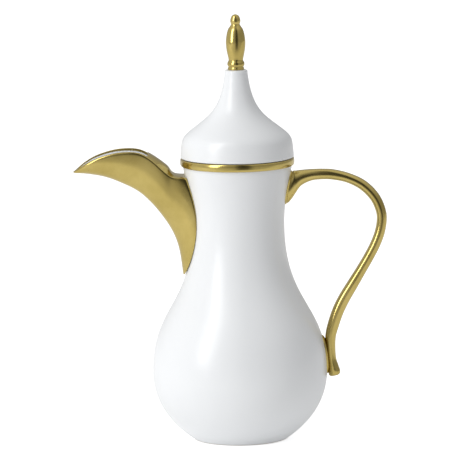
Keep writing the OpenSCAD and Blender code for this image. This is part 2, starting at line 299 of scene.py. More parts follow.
def makeGilt():
    material, bench, shader = newFinish("burnishedGold")
    place = bench.add("ShaderNodeTexCoord").outputs["Object"]
    clouds = noiseAt(bench, place, gilt["cloudScale"], 5, 0.6)
    grain = noiseAt(bench, place, gilt["grainScale"], 3, 0.6)
    stretched = bench.out("ShaderNodeMapping", None, place, Scale=gilt["strokes"])
    strokes = noiseAt(bench, stretched, 1, 3, 0.6)
    dots = bench.out("ShaderNodeTexVoronoi", {"feature": "F1"}, Vector=place,
                     Scale=gilt["speckScale"])
    chance = noiseAt(bench, place, gilt["speckPatches"], 1)
    speck = (bench.ranged(dots, *gilt["speckReach"], 1, 0)
             * bench.ranged(chance, *gilt["speckChance"], 0, 1))
    tone = bench.ranged(clouds + (grain - 0.5) * gilt["grainTone"], *gilt["toneReach"], 0, 1)
    gold = blendColours(bench, tone, rgba(gilt["deep"]), rgba(gilt["pale"]))
    colour = blendColours(bench, speck * gilt["specks"], gold, rgba(gilt["speckTint"]))
    rough = (gilt["roughness"] + (clouds - 0.5) * gilt["cloud"]
             + (grain - 0.5) * gilt["grain"] + speck * gilt["speckRoughness"])
    finishOff(bench, shader, colour, rough, strokes + grain * 0.6 + clouds * 3.0, gilt)
    shader.inputs["Metallic"].default_value = 1.0
    return material


whiteGlaze = makeGlaze()
burnishedGold = makeGilt()
print("finishes made: whiteGlaze, burnishedGold")


# shape trees

def newTree(name, inputs):
    tree = bpy.data.node_groups.new(name, "GeometryNodeTree")
    tree.interface.new_socket("Geometry", in_out="INPUT", socket_type="NodeSocketGeometry")
    tree.interface.new_socket("Geometry", in_out="OUTPUT", socket_type="NodeSocketGeometry")
    for label, kind in inputs:
        tree.interface.new_socket(label, in_out="INPUT", socket_type="NodeSocket" + kind)
    bench = Bench(tree)
    start = bench.add("NodeGroupInput")
    end = bench.add("NodeGroupOutput")
    return tree, bench, start.outputs, end


def gridOver(bench, outline, around):
    # a sheet with one row for each outline point and around + 1 columns; gives the sheet,
    # the row and the angle of each of its points
    size = bench.add("GeometryNodeAttributeDomainSize", {"component": "MESH"}, outline)
    columns = Wire(bench, around) + 1
    sheet = bench.add("GeometryNodeMeshGrid", None, 1.0, 1.0, size.outputs[0], columns)
    index = bench.out("GeometryNodeInputIndex")
    row = (index / columns + 0.0001).maths("FLOOR")      # the nudge keeps whole rows whole
    column = index - row * columns
    angle = column / Wire(bench, around) * (2 * math.pi)
    return sheet.outputs[0], row, angle


def fetch(bench, outline, value, row, kind="FLOAT_VECTOR"):
    node = bench.add("GeometryNodeSampleIndex", {"data_type": kind, "domain": "POINT"})
    bench.feed(node.inputs["Geometry"], outline)
    bench.feed(node.inputs["Value"], value)
    bench.feed(node.inputs["Index"], row)
    return Wire(bench, node.outputs[0])


def finishTree(bench, end, shape, materialSocket):
    merged = bench.out("GeometryNodeMergeByDistance", None, shape, Distance=weld)
    shaded = bench.out("GeometryNodeSetShadeSmooth", None, merged)
    real = bench.out("GeometryNodeRealizeInstances", None, shaded)
    painted = bench.out("GeometryNodeSetMaterial", None, real, Material=materialSocket)
    bench.feed(end.inputs[0], painted)


def makeTurnedTree():
    # turns an outline about Z, and drills a round hole along X through each point of Holes
    tree, bench, given, end = newTree("turnedChina", [
        ("Around", "Int"), ("Material", "Material"), ("Holes", "Object"),
        ("Hole Width", "Float"), ("Hole Depth", "Float"), ("Hole Turn", "Vector")])
    outline = given["Geometry"]
    sheet, row, angle = gridOver(bench, outline, given["Around"])
    place = fetch(bench, outline, bench.out("GeometryNodeInputPosition"), row)
    parts = bench.add("ShaderNodeSeparateXYZ", None, place).outputs
    radius = Wire(bench, parts[0])
    spot = bench.out("ShaderNodeCombineXYZ", None, radius * angle.maths("COSINE"),
                     radius * angle.maths("SINE"), parts[2])
    turned = bench.out("GeometryNodeSetPosition", None, sheet, Position=spot)
    closed = bench.out("GeometryNodeMergeByDistance", None, turned, Distance=weld)
    marks = bench.add("GeometryNodeObjectInfo", None, given["Holes"])
    drill = bench.add("GeometryNodeMeshCylinder", None, Vertices=36)
    bench.feed(drill.inputs["Radius"], Wire(bench, given["Hole Width"]) * 0.5)
    bench.feed(drill.inputs["Depth"], given["Hole Depth"])
    drills = bench.out("GeometryNodeInstanceOnPoints", None, marks.outputs["Geometry"],
                       Instance=drill.outputs[0])
    aimed = bench.out("GeometryNodeRotateInstances", None, drills, Rotation=given["Hole Turn"])
    solid = bench.out("GeometryNodeRealizeInstances", None, aimed)
    cut = bench.add("GeometryNodeMeshBoolean", {"operation": "DIFFERENCE", "solver": "EXACT"})
    bench.feed(cut.inputs[0], closed)
    bench.feed(cut.inputs[1], solid)
    finishTree(bench, end, Wire(bench, cut.outputs[0]), given["Material"])
    return tree


def makeBarTree():
    # sweeps a rounded oval along a path; each path point carries across, halfThick, halfWide
    tree, bench, given, end = newTree("sweptBar", [
        ("Around", "Int"), ("Squareness", "Float"), ("Material", "Material")])
    path = given["Geometry"]
    sheet, row, angle = gridOver(bench, path, given["Around"])
    centre = fetch(bench, path, bench.out("GeometryNodeInputPosition"), row)

    def carried(name, kind):
        node = bench.add("GeometryNodeInputNamedAttribute", {"data_type": kind}, name)
        return fetch(bench, path, node.outputs[0], row, kind)

    def rounded(wave):
        return abs(wave) ** Wire(bench, given["Squareness"]) * wave.maths("SIGN")

    across = carried("across", "FLOAT_VECTOR")
    thick = carried("halfThick", "FLOAT") * rounded(angle.maths("COSINE"))
    wide = carried("halfWide", "FLOAT") * rounded(angle.maths("SINE"))
    lifted = bench.out("ShaderNodeVectorMath", {"operation": "SCALE"}, across, Scale=thick)
    sideways = bench.out("ShaderNodeCombineXYZ", None, 0.0, wide, 0.0)
    spot = bench.out("ShaderNodeVectorMath", {"operation": "ADD"}, centre, lifted)
    spot = bench.out("ShaderNodeVectorMath", {"operation": "ADD"}, spot, sideways)
    bar = bench.out("GeometryNodeSetPosition", None, sheet, Position=spot)
    finishTree(bench, end, bar, given["Material"])
    return tree


turnedTree = makeTurnedTree()
barTree = makeBarTree()
print("shape trees made:", turnedTree.name, barTree.name)


def polyline(name, points):
    mesh = bpy.data.meshes.new(name)
    mesh.from_pydata([tuple(p) for p in points],
                     [(i, i + 1) for i in range(len(points) - 1)], [])
    made = bpy.data.objects.new(name, mesh)
    scene.collection.objects.link(made)
    return made


def grown(name, source, tree, values):
    # runs a shape tree on source and keeps the result as a plain mesh
    modifier = source.modifiers.new("shape", "NODES")
    modifier.node_group = tree
    for item in tree.interface.items_tree:
        if item.in_out == "INPUT" and item.name in values:
            modifier[item.identifier] = values[item.name]
    bpy.context.view_layer.update()
    evaluated = source.evaluated_get(bpy.context.evaluated_depsgraph_get())
    mesh = bpy.data.meshes.new_from_object(evaluated)
    source.modifiers.remove(modifier)
    bpy.data.objects.remove(source)
    return finished(name, mesh)


def finished(name, mesh):
    # turns the faces outwards and leaves a smooth piece at the origin
    work = bmesh.new()
    work.from_mesh(mesh)
    bmesh.ops.dissolve_degenerate(work, edges=work.edges, dist=1e-7)
    bmesh.ops.recalc_face_normals(work, faces=work.faces)
    if work.calc_volume(signed=True) < 0:
        bmesh.ops.reverse_faces(work, faces=work.faces)
    work.to_mesh(mesh)
    work.free()
    mesh.name = name
    mesh.shade_smooth()
    mesh.set_sharp_from_angle(angle=math.radians(38))
    piece = bpy.data.objects.new(name, mesh)
    scene.collection.objects.link(piece)
    return piece


def keep(piece, body, slotName, *nodes):
    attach(piece, body)
    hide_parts(*nodes)
    print(f"  {piece.name}: {len(piece.data.polygons)} faces, rides on {body}")


def turned(name, outline, material, around=192, holes=None, holeWidth=0.0, holeDepth=0.0,
           holeTurn=(0.0, 0.0, 0.0)):
    source = polyline(name + "Outline", [(p.x, 0, p.y) for p in outline])
    marks = polyline(name + "Holes", holes or [])
    piece = grown(name, source, turnedTree, {
        "Around": around, "Material": material, "Holes": marks, "Hole Width": holeWidth,
        "Hole Depth": holeDepth, "Hole Turn": holeTurn})
    bpy.data.objects.remove(marks)
    return piece


# pot

pot = {
    "bellyRadius": bulbHigh.x,
    "neckRadius": 0.5293 * bulbHigh.x,
    "rimRadius": bandHigh.x - 1.8 * mm,
    "footRadius": 0.5489 * bulbHigh.x,
    "footCorner": 0.8 * mm,
    "bellyShare": 0.241,        # heights as shares of the pot height
    "neckShare": 0.764,
    "lowerPull": (0.94, 0.387, 0.815),      # how far each curve's handles reach
    "middlePull": (0.451, 0.555),
    "upperPull": (0.45, 0.28, 0.27),
    "wall": 3.2 * mm,
    "footHollow": 1.8 * mm,
    "floor": 4.0 * mm,
    "strainerHole": 4.0 * mm,
    "strainerPitch": 8.0 * mm,
    "strainerRows": (1, 2, 3, 2, 3, 2),
    "strainerLow": 0.668,
    "rowShare": 0.85,           # distance between strainer rows as a share of the pitch
    "drillLength": 26 * mm,
    "around": 224,
}


def potOutside():
    belly, neck, rim = pot["bellyRadius"], pot["neckRadius"], pot["rimRadius"]
    foot = pot["footRadius"]
    bellyZ, neckZ, rimZ = pot["bellyShare"] * potHeight, pot["neckShare"] * potHeight, bandLow.z
    out, low, high = pot["lowerPull"]
    lower = bezier(Vector((foot, pot["footCorner"])),
                   Vector((foot + out * (belly - foot), low * bellyZ)),
                   Vector((belly, high * bellyZ)), Vector((belly, bellyZ)), 30)
    low, high = pot["middlePull"]
    middle = bezier(Vector((belly, bellyZ)),
                    Vector((belly, bellyZ + low * (neckZ - bellyZ))),
                    Vector((neck, neckZ - high * (neckZ - bellyZ))),
                    Vector((neck, neckZ)), 48, True)
    low, out, high = pot["upperPull"]
    upper = bezier(Vector((neck, neckZ)),
                   Vector((neck, neckZ + low * (rimZ - neckZ))),
                   Vector((rim - out * (rim - neck), rimZ - high * (rimZ - neckZ))),
                   Vector((rim, rimZ)), 24, True)
    return lower + middle + upper


potCurve = potOutside()


def potRadius(z):
    # radius of the outside of the pot at a height
    if z >= potCurve[-1].y:
        return potCurve[-1].x
    for a, b in zip(potCurve, potCurve[1:]):
        if a.y <= z <= b.y:
            return a.x + (b.x - a.x) * (z - a.y) / max(b.y - a.y, 1e-9)
    return potCurve[0].x


def makePot():
    foot, rim, wall = pot["footRadius"], pot["rimRadius"], pot["wall"]
    floorZ = pot["footHollow"] + pot["floor"]
    mouth = rim - wall
    base = roundedPath([
        (0, pot["footHollow"], 0), (foot - 4.8 * mm, pot["footHollow"], 1.2 * mm),
        (foot - 3.9 * mm, 0, 0.7 * mm), (foot - 0.7 * mm, 0, 1.1 * mm),
        (foot, pot["footCorner"], 0)])
    lip = roundedPath([
        (rim, bandLow.z, 0), (rim, potHeight, 0.9 * mm), (mouth, potHeight, 1.2 * mm),
        (mouth, bandLow.z - 1.5 * mm, 1 * mm)])
    inside = [p for p in setBack(potCurve, wall)
              if floorZ + 1.5 * mm < p.y < bandLow.z - 2.5 * mm]
    inside.reverse()
    low = inside[-1]
    bottom = roundedPath([
        (low.x, low.y, 0), (low.x - 2.2 * mm, floorZ, 4 * mm), (0, floorZ, 0)], 8)
    outline = base[:-1] + potCurve + lip[1:] + inside + bottom[1:]
    pitch = pot["strainerPitch"]
    holes = []
    for i, count in enumerate(pot["strainerRows"]):
        for k in range(count):
            holes.append((-pot["neckRadius"], (k - (count - 1) / 2) * pitch,
                          pot["strainerLow"] * potHeight + i * pitch * pot["rowShare"]))
    piece = turned("potBody", outline, whiteGlaze, pot["around"], holes, pot["strainerHole"],
                   pot["drillLength"], (0, math.pi / 2, 0))
    keep(piece, "pot", "white_glaze", "pot_foot", "pot_body", "pot_neck")


bead = {
    "sunk": 0.3 * mm,           # how far its back reaches into the rim
    "rootShare": 0.1,
    "flatness": (0.45, 0.85),   # across and up the bead; 1 is an oval, lower is squarer
    "edge": 0.15 * mm,
    "steps": 32,
    "around": 224,
}


def makeRimBead():
    rim, steps = pot["rimRadius"], bead["steps"]
    inner, proud = rim - bead["sunk"], bandHigh.x - rim
    middle, half = (bandLow.z + bandHigh.z) / 2, (bandHigh.z - bandLow.z) / 2
    outline = [Vector((inner, bandLow.z + bead["edge"]))]
    for i in range(steps + 1):
        a = math.radians(-90 + 180 * i / steps)
        swell = (1 - bead["rootShare"]) * signedPower(math.cos(a), bead["flatness"][0])
        outline.append(Vector((rim + proud * (bead["rootShare"] + swell),
                               middle + half * signedPower(math.sin(a), bead["flatness"][1]))))
    outline += [Vector((inner, bandHigh.z - bead["edge"])), outline[0]]
    piece = turned("rimBead", outline, burnishedGold, bead["around"])
    keep(piece, "pot", "gilding", "rim_band")


# lid

lid = {
    "radius": lidHigh.x,
    "topRadius": 8.1 * mm,
    "joinShare": (0.776, 0.333),    # where shoulder and flank meet, of radius and height
    "slope": 38,                # degrees, at that join
    "brim": 1.4 * mm,           # height of the rounded edge
    "shoulderPull": (1.0 * mm, 0.22, 10.9 * mm),
    "flankPull": (14.8 * mm, 3 * mm, 28 * mm),
    "topEdge": 2.2 * mm,
    "wall": 2.8 * mm,
    "solidNeck": 15 * mm,
    "socketRadius": 2.6 * mm,
    "socketDepth": 10 * mm,
    "vent": 2.6 * mm,
    "ventShare": (0.56, 0.40),  # place of the steam hole, of radius and height
    "drillShare": 0.3,
    "around": 192,
}


def makeLid():
    seat, top = lidLow.z, lidHigh.z
    height, radius = top - seat, lid["radius"]
    slope = math.radians(lid["slope"])
    join = Vector((lid["joinShare"][0] * radius, seat + lid["joinShare"][1] * height))
    down = Vector((math.cos(slope), -math.sin(slope)))
    inward, rise, along = lid["shoulderPull"]
    shoulder = bezier(Vector((radius, seat + lid["brim"])),
                      Vector((radius - inward, seat + rise * height)),
                      join + down * along, join, 26)
    along, out, drop = lid["flankPull"]
    flank = bezier(join, join - down * along,
                   Vector((lid["topRadius"] + out, top - drop)),
                   Vector((lid["topRadius"], top - lid["topEdge"])), 40, True)
    ledge = ringHigh.x + 0.1 * mm
    crown = roundedPath([
        (lid["topRadius"], top - lid["topEdge"], 0), (lid["topRadius"], top, 2.4 * mm),
        (lid["socketRadius"], top, 0.2 * mm),
        (lid["socketRadius"], top - lid["socketDepth"], 0), (0, top - lid["socketDepth"], 0)], 7)
    edge = roundedPath([
        (ledge, seat + 4 * mm, 0), (ledge, seat, 0.5 * mm), (radius - 0.05 * mm, seat, 1.5 * mm),
        (radius, seat + lid["brim"], 0)], 7)
    ceiling = top - lid["solidNeck"]
    under = []
    for p in setBack(shoulder + flank, lid["wall"]):
        if seat + 5 * mm < p.y < ceiling - 1 * mm:
            under.append(Vector((min(p.x, ledge), p.y)))
    outline = ([Vector((0, ceiling)), Vector((under[-1].x - 1 * mm, ceiling))]
               + under[::-1] + edge + shoulder[1:] + flank + crown[1:])
    vent = (lid["ventShare"][0] * radius, 0, seat + lid["ventShare"][1] * height)
    piece = turned("lidShell", outline, whiteGlaze, lid["around"], [vent], lid["vent"],
                   lid["drillShare"] * height, (0, slope, 0))
    keep(piece, "lid", "white_glaze", "lid_shell")


lidRing = {
    "thickness": 2.6 * mm,
    "upperEdge": 0.4 * mm,
    "lowerEdges": (0.9 * mm, 1.2 * mm),     # inside and outside
    "around": 160,
}


def makeLidRing():
    outer, inner = ringHigh.x, ringHigh.x - lidRing["thickness"]
    outline = roundedPath([
        (outer, ringHigh.z, 0), (inner, ringHigh.z, lidRing["upperEdge"]),
        (inner, ringLow.z, lidRing["lowerEdges"][0]),
        (outer, ringLow.z, lidRing["lowerEdges"][1]), (outer, ringHigh.z, 0)], 7)
    piece = turned("lidRing", outline, whiteGlaze, lidRing["around"])
    keep(piece, "lid", "white_glaze", "lid_flange")


# finial

finial = {
    "radius": finialHigh.x,
    "spigot": 2.5 * mm,
    "spigotLength": 9 * mm,
    "lift": 0.1 * mm,           # joint over the lid
    "steps": 5,                 # outline points to a row
    "around": 96,
    # share of the radius, share of the height
    "outline": (
        (0.800, 0.000), (0.845, 0.022), (0.770, 0.048), (0.850, 0.075), (0.876, 0.100),
        (0.840, 0.135), (0.745, 0.165), (0.765, 0.205), (0.845, 0.270), (0.925, 0.345),
        (0.980, 0.425), (1.000, 0.500), (0.960, 0.578), (0.885, 0.655), (0.820, 0.696),
        (0.735, 0.735), (0.560, 0.780), (0.450, 0.812), (0.470, 0.835), (0.516, 0.865),
        (0.505, 0.900), (0.440, 0.940), (0.300, 0.978), (0.000, 1.000)),
}


def makeFinial():
    foot = lidHigh.z
    height = finialHigh.z - foot
    rows, steps, lift = finial["outline"], finial["steps"], finial["lift"]
    outline = [Vector((0, foot - finial["spigotLength"])),
               Vector((finial["spigot"], foot - finial["spigotLength"])),
               Vector((finial["spigot"], foot + lift))]
    for i in range((len(rows) - 1) * steps):
        r, z = smooth(rows, i / steps)
        outline.append(Vector((r * finial["radius"], foot + lift + max(z, 0) * (height - lift))))
    outline.append(Vector((0, finialHigh.z)))
    piece = turned("finialTurned", outline, burnishedGold, finial["around"])
    keep(piece, "lid", "gilding", "finial")


# handle

handle = {
    "reach": handleHigh.x - 3.6 * mm,       # to the middle of the bar
    "pad": 1.74 * mm,           # cushion and joints under each end
    "rootShare": 0.8935,        # heights where the ends stand off the pot
    "tailShare": 0.318,
    "tailOff": 2.0 * mm,
    "turnRow": 12,              # the outermost row
    "around": 48,
    "steps": 7,
    "squareness": 0.88,
    # share of the reach, share of the pot height, tilt, half thickness mm, half width mm
    "rows": (
        (-0.055, 0.8890, 79, 11.4, 6.3),
        (0.000, 0.8935, 81, 11.3, 6.3),
        (0.031, 0.9030, 86, 9.80, 6.1),
        (0.060, 0.9121, 90, 7.90, 5.8),
        (0.122, 0.9262, 90, 5.55, 5.4),
        (0.229, 0.9357, 90, 4.10, 5.0),
        (0.355, 0.9382, 89, 3.72, 4.8),
        (0.477, 0.9357, 84, 3.65, 4.7),
        (0.636, 0.9232, 71, 3.45, 4.7),
        (0.794, 0.8975, 55, 3.60, 4.7),
        (0.918, 0.8574, 35, 3.60, 4.7),
        (0.983, 0.8142, 17, 3.60, 4.7),
        (1.000, 0.7735, 1, 3.60, 4.7),
        (0.960, 0.7293, -15, 3.60, 4.7),
        (0.871, 0.6856, -24, 3.60, 4.7),
        (0.748, 0.6419, -29, 3.60, 4.7),
        (0.590, 0.5922, -31, 3.70, 4.7),
        (0.432, 0.5440, -31, 4.00, 4.8),
        (0.265, 0.4927, -29, 4.20, 4.8),
        (0.142, 0.4460, -23, 4.20, 4.9),
        (0.048, 0.3948, -15, 4.10, 5.0),
        (0.003, 0.3586, -8, 3.80, 5.1),
        (0.000, 0.3179, -1, 3.50, 5.2),
        (0.019, 0.2788, 8, 3.30, 5.3),
        (0.046, 0.2511, 14, 3.90, 5.5),
        (0.067, 0.2325, 15, 4.30, 5.6),
        (0.072, 0.2240, 12, 4.00, 5.2),
        (0.072, 0.2200, 10, 2.90, 3.9),
        (0.072, 0.2190, 10, 0.00, 0.0)),
}


def makeHandle():
    rows, steps = handle["rows"], handle["steps"]
    rootX = potRadius(handle["rootShare"] * potHeight) + handle["pad"]
    lowX = potRadius(handle["tailShare"] * potHeight) + handle["pad"] + handle["tailOff"]
    places, across, thick, wide = [], [], [], []
    count = (len(rows) - 1) * steps
    for i in range(count + 1):
        u = i / steps
        share, height, tilt, halfThick, halfWide = smooth(rows, u)
        start = rootX if u <= handle["turnRow"] else lowX
        tilt = math.radians(tilt)
        places.append((start + share * (handle["reach"] - start), 0, height * potHeight))
        across.append((math.cos(tilt), 0, math.sin(tilt)))
        thick.append(max(halfThick, 0) * mm)
        wide.append(max(halfWide, 0) * mm)
    # both ends close to a point
    places.insert(0, places[0])
    across.insert(0, across[0])
    thick.insert(0, 0.0)
    wide.insert(0, 0.0)
    thick[-1] = wide[-1] = 0.0
    source = polyline("handlePath", places)
    store(source, "across", "FLOAT_VECTOR", across)
    store(source, "halfThick", "FLOAT", thick)
    store(source, "halfWide", "FLOAT", wide)
    piece = grown("handleBar", source, barTree, {
        "Around": handle["around"], "Squareness": handle["squareness"],
        "Material": burnishedGold})
    keep(piece, "pot", "gilding", "handle")


def store(thing, name, kind, values):
    layer = thing.data.attributes.new(name, kind, "POINT")
    for item, value in zip(layer.data, values):
        if kind == "FLOAT":
            item.value = value
        else:
            item.vector = value


pads = {
    "thickness": 1.5 * mm,
    "sunk": 0.5 * mm,           # how far the back reaches into the glaze
    "flatShare": 0.72,          # the pad is level out to here, then rolls over
    "roll": 2.2,
    "endTurn": 6,               # how soon the sides run straight after the round ends
    "across": 22,
    "along": 72,
}


def makePad(name, node):
    # a low cushion of clay between the handle and the pot, following the pot's side
    low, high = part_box(node)
    half, across, along = high.y, pads["across"], pads["along"]
    centre, reach = (low.z + high.z) / 2, (high.z - low.z) / 2
    verts, faces = [], []

    def spot(share, turn, lift):
        c, s = math.cos(turn), math.sin(turn)
        y = share * half * c
        stretch = math.copysign(reach - half, s) * min(1, abs(s) * pads["endTurn"])
        z = centre + share * (half * s + stretch)
        r = potRadius(z) + lift
        return (math.sqrt(r * r - y * y), y, z)

    for k in range(along):
        turn = 2 * math.pi * k / along
        for i in range(across + 1):
            share = i / across
            edge = max(0, (share - pads["flatShare"]) / (1 - pads["flatShare"]))
            lift = pads["thickness"] * math.sqrt(max(0, 1 - edge ** pads["roll"]))
            verts.append(spot(share, turn, lift))
        verts.append(spot(1.0, turn, -pads["sunk"]))
        verts.append(spot(0.0, turn, -pads["sunk"]))
    row = across + 3
    for k in range(along):
        a, b = k * row, (k + 1) % along * row
        for i in range(row - 1):
            faces.append((a + i, a + i + 1, b + i + 1, b + i))
    mesh = bpy.data.meshes.new(name)
    mesh.from_pydata(verts, [], faces)
    work = bmesh.new()
    work.from_mesh(mesh)
    bmesh.ops.remove_doubles(work, verts=work.verts, dist=weld)
    work.to_mesh(mesh)
    work.free()
    mesh.materials.append(burnishedGold)
    keep(finished(name, mesh), "pot", "gilding", node)


# spout

spout = {
    "reach": -spoutLow.x,
    "halfWidth": 12.1 * mm,
    "rootHalfWidth": 18.2 * mm,
    "drawnIn": 0.34,            # how far the root's shoulders are drawn in
    "wall": 2.0 * mm,
    "sunk": -0.6 * mm,          # its root stands this far inside the pot's skin
    "squeeze": 0.86,            # from this share on the sections bend on to the pot
    "tipSetBack": (0.128, 2.1, 1.5),    # the trough starts back from the tip
    "floorRise": 0.002,         # least depth of the trough, as a share of the pot height
    "lipDrop": 0.85,            # walls by which the inside lip falls at the root
    "crownWall": 1.25,
    "crownLeast": 0.3,          # mm
    "fullness": 0.8,            # of the underside; lower is fuller
    "crownShape": 2.2,
    "lipEdge": 1.3 * mm,
    "innerEdge": 0.6 * mm,
    "edgeSteps": (0, 0.1, 0.4, 1.0),        # where a rounded edge gets its extra points
    "giltOverLip": 4,           # how many of those steps are gilded inside
    "under": 32,                # steps round the underside
    "crown": 12,                # steps over the closed top
    "rowSteps": 2,
    "bridgeRow": 11,            # the top is closed from this row on
    "rounderLevels": 2,
    # share of the way from tip to pot, lip, keel and inside keel as shares of the pot
    # height, share of the width, flare towards the root, height of the closed top in mm
    "rows": (
        (0.000, 0.9583, 0.9558, 0.9670, 0.00, 0.00, 0.0),
        (0.013, 0.9613, 0.9540, 0.9670, 0.22, 0.00, 0.0),
        (0.040, 0.9679, 0.9533, 0.9660, 0.41, 0.00, 0.0),
        (0.078, 0.9804, 0.9525, 0.9638, 0.60, 0.00, 0.0),
        (0.130, 0.9935, 0.9508, 0.9623, 0.77, 0.00, 0.0),
        (0.195, 1.0070, 0.9468, 0.9583, 0.90, 0.00, 0.0),
        (0.262, 1.0166, 0.9422, 0.9543, 0.97, 0.00, 0.0),
        (0.352, 1.0266, 0.9317, 0.9437, 1.00, 0.00, 0.0),
        (0.444, 1.0321, 0.9166, 0.9292, 1.00, 0.00, 0.0),
        (0.535, 1.0326, 0.9001, 0.9131, 1.00, 0.00, 0.6),
        (0.613, 1.0286, 0.8815, 0.8955, 1.00, 0.00, 1.2),
        (0.684, 1.0161, 0.8569, 0.8724, 1.00, 0.01, 1.8),
        (0.757, 0.9945, 0.8262, 0.8433, 1.00, 0.04, 2.9),
        (0.836, 0.9653, 0.7860, 0.8056, 1.00, 0.11, 4.3),
        (0.901, 0.9478, 0.7454, 0.7675, 1.00, 0.12, 3.9),
        (0.948, 0.9412, 0.7011, 0.7320, 1.00, 0.26, 2.5),
        (0.976, 0.9395, 0.6504, 0.6956, 1.00, 0.50, 1.3),
        (1.000, 0.9395, 0.5670, 0.6504, 1.00, 1.00, 0.4)),
}


def spoutSection(i, inside):
    # one cross-section: round the underside from lip to lip, then back over the top
    rows, under = spout["rows"], spout["under"]
    u = i / spout["rowSteps"]
    share = smooth(rows, u)[0]
    back, rowsBack, power = spout["tipSetBack"]
    if inside and share < back:
        u += rowsBack * (1 - share / back) ** power
    share, lip, keel, keelIn, width, flare, rise = smooth(rows, u)
    rootX = potRadius(rows[-1][2] * potHeight)
    wide = width * (spout["halfWidth"] + flare * (spout["rootHalfWidth"] - spout["halfWidth"]))
    pull = max(0, (share - spout["squeeze"]) / (1 - spout["squeeze"]))
    pull = pull * pull * (3 - 2 * pull)
    outKeel = keel * potHeight
    wall = 0
    if inside:
        wall = spout["wall"]
        keel = min(keelIn, lip - spout["floorRise"])
        rise = max(rise - spout["crownWall"] * wall / mm, spout["crownLeast"])
    lip = lip * potHeight - spout["lipDrop"] * wall * pull
    keel, rise = keel * potHeight, rise * mm
    deep = lip - keel

    def halfAt(depth):
        return max(wide * (1 - spout["drawnIn"] * flare * (1 - depth) ** 3) - wall, 0.3 * mm)

    def turnAt(depth):
        # degrees round the underside at a share of its depth
        return math.degrees(math.asin(depth ** (1 / spout["fullness"])))

    rounding = min(spout["innerEdge" if inside else "lipEdge"], 0.35 * deep, 0.45 * halfAt(0))
    start = turnAt(2 * rounding / deep)
    lead = [turnAt(rounding * step / deep) for step in spout["edgeSteps"]]
    count = under - 2 * len(lead)
    turns = lead + [start + (180 - 2 * start) * k / count for k in range(count + 1)]
    turns += [180 - t for t in reversed(lead)]
    points = []
    for turn in turns:
        depth = max(math.sin(math.radians(turn)), 0) ** spout["fullness"]
        drop = min(deep * depth, rounding)
        inset = rounding - math.sqrt(max(rounding ** 2 - (rounding - drop) ** 2, 0))
        inset = -inset if inside else inset
        y = -halfAt(depth) * math.cos(math.radians(turn))
        points.append((math.copysign(max(abs(y) - inset, 0), y), lip - deep * depth))
    top = halfAt(0) + rounding if inside else halfAt(0) - rounding
    for k in range(1, spout["crown"]):
        y = top * math.cos(math.pi * k / spout["crown"])
        points.append((y, lip + rise * (1 - abs(y / top) ** spout["crownShape"])))
    flat = -spout["reach"] + share * (spout["reach"] - rootX)
    made = []
    for y, z in points:
        side = math.sqrt((potRadius(z) + spout["sunk"]) ** 2 - y * y)
        made.append((flat + pull * (potRadius(outKeel) + spout["sunk"] - side), y, z))
    return made


def makeSpout():
    under, crown = spout["under"], spout["crown"]
    ring = under + crown
    last = (len(spout["rows"]) - 1) * spout["rowSteps"]
    bridge = spout["bridgeRow"] * spout["rowSteps"]
    work = bmesh.new()
    skins = []
    for inside in (False, True):
        tip = spoutSection(0, inside)[0]
        tipVert = work.verts.new((tip[0], 0, tip[2]))
        rings = [[tipVert] * (ring + 1)]
        for i in range(1, last + 1):
            section = spoutSection(i, inside)
            if i < bridge:
                section = section[:under + 1]
            made = [work.verts.new(p) for p in section]
            rings.append(made + [made[0]])
        skins.append(rings)
    outer, inner = skins

    def panel(corners, tint):
        corners = list(dict.fromkeys(corners))
        if len(corners) > 2:
            work.faces.new(corners).material_index = tint

    for i in range(last):
        closed = i >= bridge
        for j in range(ring if closed else under):
            panel((outer[i][j], outer[i][j + 1], outer[i + 1][j + 1], outer[i + 1][j]), 0)
            gilded = j < spout["giltOverLip"] or under - j <= spout["giltOverLip"]
            panel((inner[i][j + 1], inner[i][j], inner[i + 1][j], inner[i + 1][j + 1]),
                  0 if gilded and not closed else 1)
        if not closed:
            panel((inner[i][0], outer[i][0], outer[i + 1][0], inner[i + 1][0]), 0)
            panel((outer[i][under], inner[i][under], inner[i + 1][under], outer[i + 1][under]), 0)
    for j in range(under, ring):
        panel((outer[bridge][j + 1], outer[bridge][j], inner[bridge][j], inner[bridge][j + 1]), 0)
    for j in range(ring):
        panel((outer[last][j], outer[last][j + 1], inner[last][j + 1], inner[last][j]), 0)
    mesh = bpy.data.meshes.new("spoutShell")
    bmesh.ops.recalc_face_normals(work, faces=work.faces)
    work.to_mesh(mesh)
    work.free()
    mesh.materials.append(burnishedGold)
    mesh.materials.append(whiteGlaze)
    raw = bpy.data.objects.new("spoutRaw", mesh)
    scene.collection.objects.link(raw)
    rounder = raw.modifiers.new("rounder", "SUBSURF")
    rounder.levels = rounder.render_levels = spout["rounderLevels"]
    bpy.context.view_layer.update()
    evaluated = raw.evaluated_get(bpy.context.evaluated_depsgraph_get())
    rounded = bpy.data.meshes.new_from_object(evaluated)
    bpy.data.objects.remove(raw)
    keep(finished("spoutShell", rounded), "pot", "gilding", "spout")


# studio

